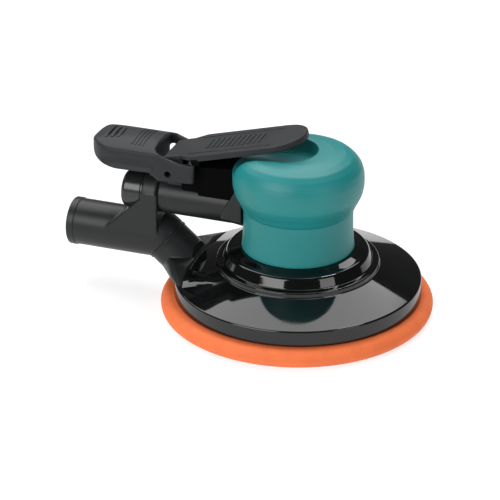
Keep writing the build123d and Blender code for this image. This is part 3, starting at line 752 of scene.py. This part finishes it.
class SANDER_OT_nozzle(bpy.types.Operator):
    """Nozzle that runs down from the bend and flattens to meet the duct"""

    bl_idname = "sander.nozzle"
    bl_label = "Nozzle"

    def execute(self, context):
        collar = Vector((-77.2, 0, 28.1))
        down = Vector((math.cos(math.radians(40)), 0, -math.sin(math.radians(40))))
        tube = aimed(rod(12.7, -0.3, 40, sides=128), collar, down)
        tube = carved(tube, block((-110, -30, 10.3), (-58.4, 30, 60)), "INTERSECT")
        centre, shoe_top = collar + down * 8, 23.2
        across, under = Vector((0, 1, 0)), Vector((down.z, 0, -down.x))
        fan = bmesh.new()
        for i in range(33):
            angle = math.pi * i / 32
            point = centre + (across * math.cos(angle) + under * math.sin(angle)) * 12.5
            if point.z < shoe_top:
                fan.verts.new(point * MM)
        shoe = (
            (-66.5, 18.0, 23.2, 17.2), (-57.4, 21.0, 23.2, 17.2), (-64.5, 26.5, 18.6, 17.2), (-54.4, 39.2, 18.8, 17.6),
        )
        for x, y, high, low in shoe:
            for side in (-1, 1):
                fan.verts.new(Vector((x, y * side, high)) * MM)
                fan.verts.new(Vector((x, y * side, low)) * MM)
        hull = bmesh.ops.convex_hull(fan, input=fan.verts, use_existing_faces=False)
        spare = [g for g in hull["geom_interior"] + hull["geom_unused"] if isinstance(g, bmesh.types.BMVert)]
        bmesh.ops.delete(fan, geom=list(set(spare)), context="VERTS")
        lip = turned(
            [(12.2, 0.1, 0), (13.15, 0.1, 0.2), (13.15, 1.7, 0.2), (12.2, 1.7, 0)], steps=128,
        )
        lip = aimed(lip, collar, down)
        soft = moulded(joined(tube, fan), 0.42, 6)
        finish_piece("nozzle_lip", lip, "root", Finishes.get("satin_black"), (), 40)
        finish_piece(
            "nozzle_skin", soft, "root", Finishes.get("satin_black"), ("suction_nozzle",),
        )
        return {"FINISHED"}


class SANDER_OT_lever(bpy.types.Operator):
    """Throttle lever: a thin crowned paddle with turned-down rim, ears and grip ribs"""

    bl_idname = "sander.lever"
    bl_label = "Lever"

    def execute(self, context):
        plan = stadium(16.4, 14.5, 79.3)[:49]
        plan += [(14.5, 16.4), (8.3, 12.9), (-1.9, 12.2), (-1.9, -12.2), (8.3, -12.9), (14.5, -16.4)]
        plate = prism(plan, 6.5, 8.9, "Z")
        rim = prism(stadium(16.4, 20.0, 79.3, 0.5), 5.2, 7.5, "Z")
        rim = carved(rim, prism(stadium(14.4, 8.0, 77.3, 0.5), 4.0, 6.6, "Z"))
        ears = []
        for middle in (-11.3, 11.3):
            inside, outside = middle - 1.2, middle + 1.2
            ears.append(block((-4.4, inside, 0), (9.0, outside, 7.0)))
            ears.append(rod(4.45, inside, outside, "Y"))
        nose = block((9.4, -4.5, -4.3), (14.6, 4.5, 7.0))
        paddle = moulded(joined(plate, rim, nose, *ears), 0.42, 5)
        ribs = []
        count = context.scene.sander_sizes.lever_ribs
        for i in range(count):
            x = 22.0 + 3.1 * i
            half = 7.5 - 0.28 * abs(i - count / 2)
            ribs.append(block((x - 0.55, -half, 8.6), (x + 0.55, half, 9.34)))
        for y in (-11.6, 11.6):
            ribs.append(block((13.0, y - 0.4, 8.6), (62.0, y + 0.4, 9.25)))
        ribs = round_edges(joined(*ribs), 0.22, 3)
        for shape in (paddle, ribs):
            turn = Matrix.Rotation(-LEVER_RISE, 3, "Y")
            bmesh.ops.rotate(shape, verts=shape.verts, cent=(0, 0, 0), matrix=turn)
            bmesh.ops.translate(shape, verts=shape.verts, vec=PIVOT * MM)
        charcoal = Finishes.get("charcoal")
        finish_piece("lever_paddle", paddle, "lever", charcoal, ("throttle_lever",))
        finish_piece("lever_ribs", ribs, "lever", charcoal, (), 40)
        return {"FINISHED"}


class SANDER_OT_wrist_rest(bpy.types.Operator):
    """Wrist rest: crowned shell round the lever's pivot, with its two arms and grip ribs"""

    bl_idname = "sander.wrist_rest"
    bl_label = "Wrist rest"

    def execute(self, context):
        side = [
            (-118.9, 80.0), (-118.9, 84.0), (-118.0, 86.2), (-115.8, 87.6), (-111.5, 88.3), (-106.0, 88.5),
            (-100.0, 89.0), (-92.0, 89.2), (-84.0, 89.2), (-79.5, 88.9), (-77.5, 87.0), (-75.0, 85.4),
            (-70.0, 83.6), (-66.0, 82.7), (-62.5, 82.1), (-54.6, 82.6), (-54.9, 71.2), (-76.0, 70.0),
            (-81.0, 74.0), (-101.0, 73.5), (-109.0, 75.0),
            (-115.4, 77.2),
        ]
        body = prism(side, -16.3, 16.3)
        plan = stadium(16.3, 53.0, 118.8)
        plan = prism([(-x, -y) for x, y in plan], 0, 120, "Z")
        body = carved(body, plan, "INTERSECT")
        crown_round = 38.7
        crown = rod(crown_round, -120, -50, "X", (0, 0, 89.2 - crown_round), sides=256)
        body = carved(body, crown, "INTERSECT")
        hollow = [(-109, 60), (-109, 81.4), (-103, 83.4), (-94, 84.8), (-82, 84.8), (-82, 60)]
        body = carved(body, prism(hollow, -13.0, 13.0))
        gap = [(-78.6, -11.5), (-77.0, -13.2), (-40, -13.2), (-40, 13.2), (-77.0, 13.2), (-78.6, 11.5)]
        body = carved(body, prism(gap, 60, 120, "Z"))
        for turn in (-1, 1):
            flute = rod(5.2, -110.5, -78.5, "X", (0, turn * 19.8, 78.2))
            body = carved(body, flute)
        body = carved(body, block((-83.0, 11.0, 60), (-76.4, 20.0, 80.2)))
        saddle = prism([(-85.0, 66), (-81.9, 66), (-81.9, 86), (-85.0, 86)], -6, 6)
        saddle = carved(saddle, rod(12.45, -95, -75, "X", (0, 0, HANDLE_Z)))
        soft = moulded(joined(body, saddle), 0.48, round(16 * context.scene.sander_sizes.edge_round))
        soft = carved(soft, rod(1.9, -20, 20, "Y", (PIVOT.x, 0, PIVOT.z), sides=32))
        charcoal = Finishes.get("charcoal")
        finish_piece("wrist_rest_shell", soft, "root", charcoal, ("wrist_rest",), 50)
        ribs = []
        for i in range(context.scene.sander_sizes.rest_ribs):
            x = -93.0 + 2.1 * i
            ribs.append(block((x - 0.42, -10.5, 85.9), (x + 0.42, 10.5, 89.9)))
        for i in range(3):
            x = -109.5 + 3.4 * i
            ribs.append(block((x - 0.5, -8.0 + i, 84.0), (x + 0.5, 8.0 - i, 89.9)))
        rib_height = 0.32
        over = rod(crown_round + rib_height, -120, -50, "X", (0, 0, 89.2 - crown_round), sides=256)
        ribs = carved(joined(*ribs), over, "INTERSECT")
        finish_piece("rest_ribs", ribs, "root", charcoal, (), 40)
        # The pin takes the near-black finish so that it reads as a dark hole: painted shade.
        pin = turned(
            [(0, -13.4, 0), (1.5, -13.4, 0.3), (1.5, 13.4, 0.3), (0, 13.4, 0)], "Y", (PIVOT.x, 0, PIVOT.z), 48,
            closed=False,
        )
        finish_piece("pivot_pin", pin, "root", Finishes.get("painted_shade_black"), ("lever_pin",), 30)
        return {"FINISHED"}


class SANDER_OT_inner_parts(bpy.types.Operator):
    """Gives the frame's own nodes their finishes"""

    bl_idname = "sander.inner_parts"
    bl_label = "Inner parts"

    def execute(self, context):
        slots = {row["node"]: row["material_slot"] for row in frame["record"]["subparts"]}
        for node, made in frame["nodes"].items():
            if made.hide_render:
                continue
            finish = Finishes.get(slots[node])
            if not made.data.materials:
                made.data.materials.append(finish)
            for i in range(len(made.material_slots)):
                made.material_slots[i].material = finish
        return {"FINISHED"}


class SANDER_OT_stage(bpy.types.Operator):
    """Pale floor, soft lights and the camera"""

    bl_idname = "sander.stage"
    bl_label = "Stage"

    def execute(self, context):
        scene = context.scene
        shape = bmesh.new()
        bmesh.ops.create_grid(shape, x_segments=8, y_segments=8, size=6.0)
        bmesh.ops.translate(shape, verts=shape.verts, vec=(0, 0, -0.0001))
        floor = as_object(shape, "floor")
        floor.data.materials.append(floor_finish("floor"))

        world = bpy.data.worlds.new("studio")
        scene.world = world
        world.use_nodes = True
        world.node_tree.nodes["Background"].inputs["Color"].default_value = (1, 1, 1, 1)
        world.node_tree.nodes["Background"].inputs["Strength"].default_value = 0.06

        def softbox(name, position, target, width, height, radiance):
            light = bpy.data.lights.new(name, "AREA")
            light.shape = "RECTANGLE"
            light.size, light.size_y = width, height
            light.energy = radiance * math.pi * width * height
            made = bpy.data.objects.new(name, light)
            made.location = position
            aim = Vector(target) - Vector(position)
            made.rotation_euler = aim.to_track_quat("-Z", "Y").to_euler()
            scene.collection.objects.link(made)

        softbox("light_top", (-0.9, 0.95, 1.5), (-0.9, 0.95, 0), 2.5, 2.0, 3.5)
        softbox("light_front", (-0.7, -1.8, 1.1), (0, 0, 0.05), 1.5, 1.2, 5.6)
        softbox("light_small", (0.42, 0.42, 1.4), (0, 0, 0), 0.22, 0.3, 16.0)
        softbox("light_right", (1.9, -0.9, 0.9), (0, 0, 0.05), 0.9, 0.9, 3.2)

        back = Vector((0.3084, -0.8426, 0.4415)).normalized()
        right = Vector((0.9391, 0.3437, 0.0))
        up = back.cross(right)
        distance = scene.sander_sizes.camera_distance
        data = bpy.data.cameras.new("camera")
        data.lens = 216.0
        data.sensor_width = 36.0
        data.clip_end = 20.0
        camera = bpy.data.objects.new("camera", data)
        camera.location = back * distance - right * (47.6 / 3000 * distance) + up * (55.0 / 3000 * distance)
        camera.rotation_euler = Matrix((right, up, back)).transposed().to_euler()
        scene.collection.objects.link(camera)
        scene.camera = camera
        scene.view_settings.view_transform = "Standard"
        return {"FINISHED"}


PIECES = (
    SANDER_OT_pad, SANDER_OT_shroud, SANDER_OT_grip, SANDER_OT_handle, SANDER_OT_inlet, SANDER_OT_hose_tube,
    SANDER_OT_nozzle, SANDER_OT_lever, SANDER_OT_wrist_rest, SANDER_OT_inner_parts, SANDER_OT_stage,
)


class SANDER_PT_panel(bpy.types.Panel):
    """Lists the builders of the sander's pieces"""

    bl_idname = "SANDER_PT_panel"
    bl_label = "Sander"
    bl_space_type = "VIEW_3D"
    bl_region_type = "UI"
    bl_category = "Sander"

    def draw(self, context):
        column = self.layout.column()
        for group in (context.scene.sander_sizes, context.scene.sander_colours):
            for key in group.bl_rna.properties.keys():
                if key not in ("rna_type", "name"):
                    column.prop(group, key)
        for operator in PIECES:
            column.operator(operator.bl_idname)


CLASSES = (SanderSizes, SanderColours, *PIECES, SANDER_PT_panel)


def register():
    for made in CLASSES:
        bpy.utils.register_class(made)
    bpy.types.Scene.sander_sizes = bpy.props.PointerProperty(type=SanderSizes)
    bpy.types.Scene.sander_colours = bpy.props.PointerProperty(type=SanderColours)


def unregister():
    del bpy.types.Scene.sander_colours
    del bpy.types.Scene.sander_sizes
    for made in reversed(CLASSES):
        bpy.utils.unregister_class(made)


def main():
    register()
    for operator in PIECES:
        group, name = operator.bl_idname.split(".")
        getattr(getattr(bpy.ops, group), name)()


if __name__ == "__main__":
    main()
